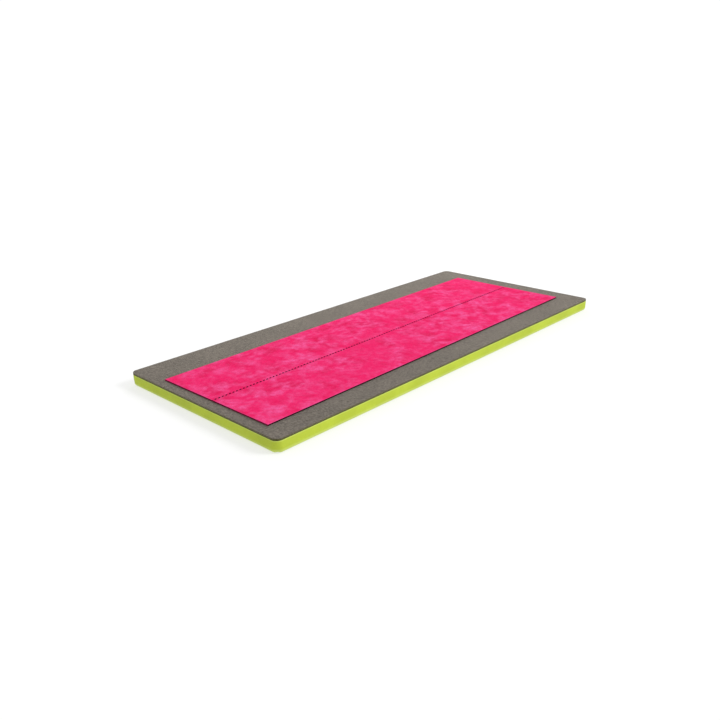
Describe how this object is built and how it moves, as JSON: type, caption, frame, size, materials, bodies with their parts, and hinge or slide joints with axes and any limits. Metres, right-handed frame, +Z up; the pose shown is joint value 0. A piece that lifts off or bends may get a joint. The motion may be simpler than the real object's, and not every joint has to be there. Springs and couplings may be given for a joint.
{
  "type": "floor-level balance trainer board",
  "caption": "Long low foam board with a felt top and two mottled suede strips sewn along a middle seam, for balance practice at floor level.",
  "frame": {"origin": "middle of the underside, on the floor", "axes": "+X along the board's length, +Y across its width towards the wide bare felt border, +Z up"},
  "size_m": [1.39, 0.61, 0.0459],
  "materials": {
    "anti_slip_rubber": "fine dimpled anti-slip rubber",
    "label_cloth": "blank woven label",
    "lime_foam": "matte closed-cell foam with a fine skin",
    "glue": "dried film of contact glue",
    "felt_backing": "bonded fibre backing",
    "taupe_felt": "heathered needle-punched felt",
    "dark_pad_foam": "dark maroon pad foam",
    "magenta_suede": "mottled microfibre suede",
    "tape_cloth": "woven tape",
    "sewing_thread": "twisted maroon thread"
  },
  "bodies": {
    "root": {"anti_slip_sheet": "anti_slip_rubber", "care_label": "label_cloth", "foam_slab": "lime_foam", "felt_glue": "glue", "felt_backing": "felt_backing", "felt_pile": "taupe_felt", "front_strip_glue": "glue", "back_strip_glue": "glue", "front_strip_pad": "dark_pad_foam", "back_strip_pad": "dark_pad_foam", "front_strip_suede": "magenta_suede", "back_strip_suede": "magenta_suede", "seam_tape": "tape_cloth", "seam_stitches": "sewing_thread"}
  },
  "joints": []
}
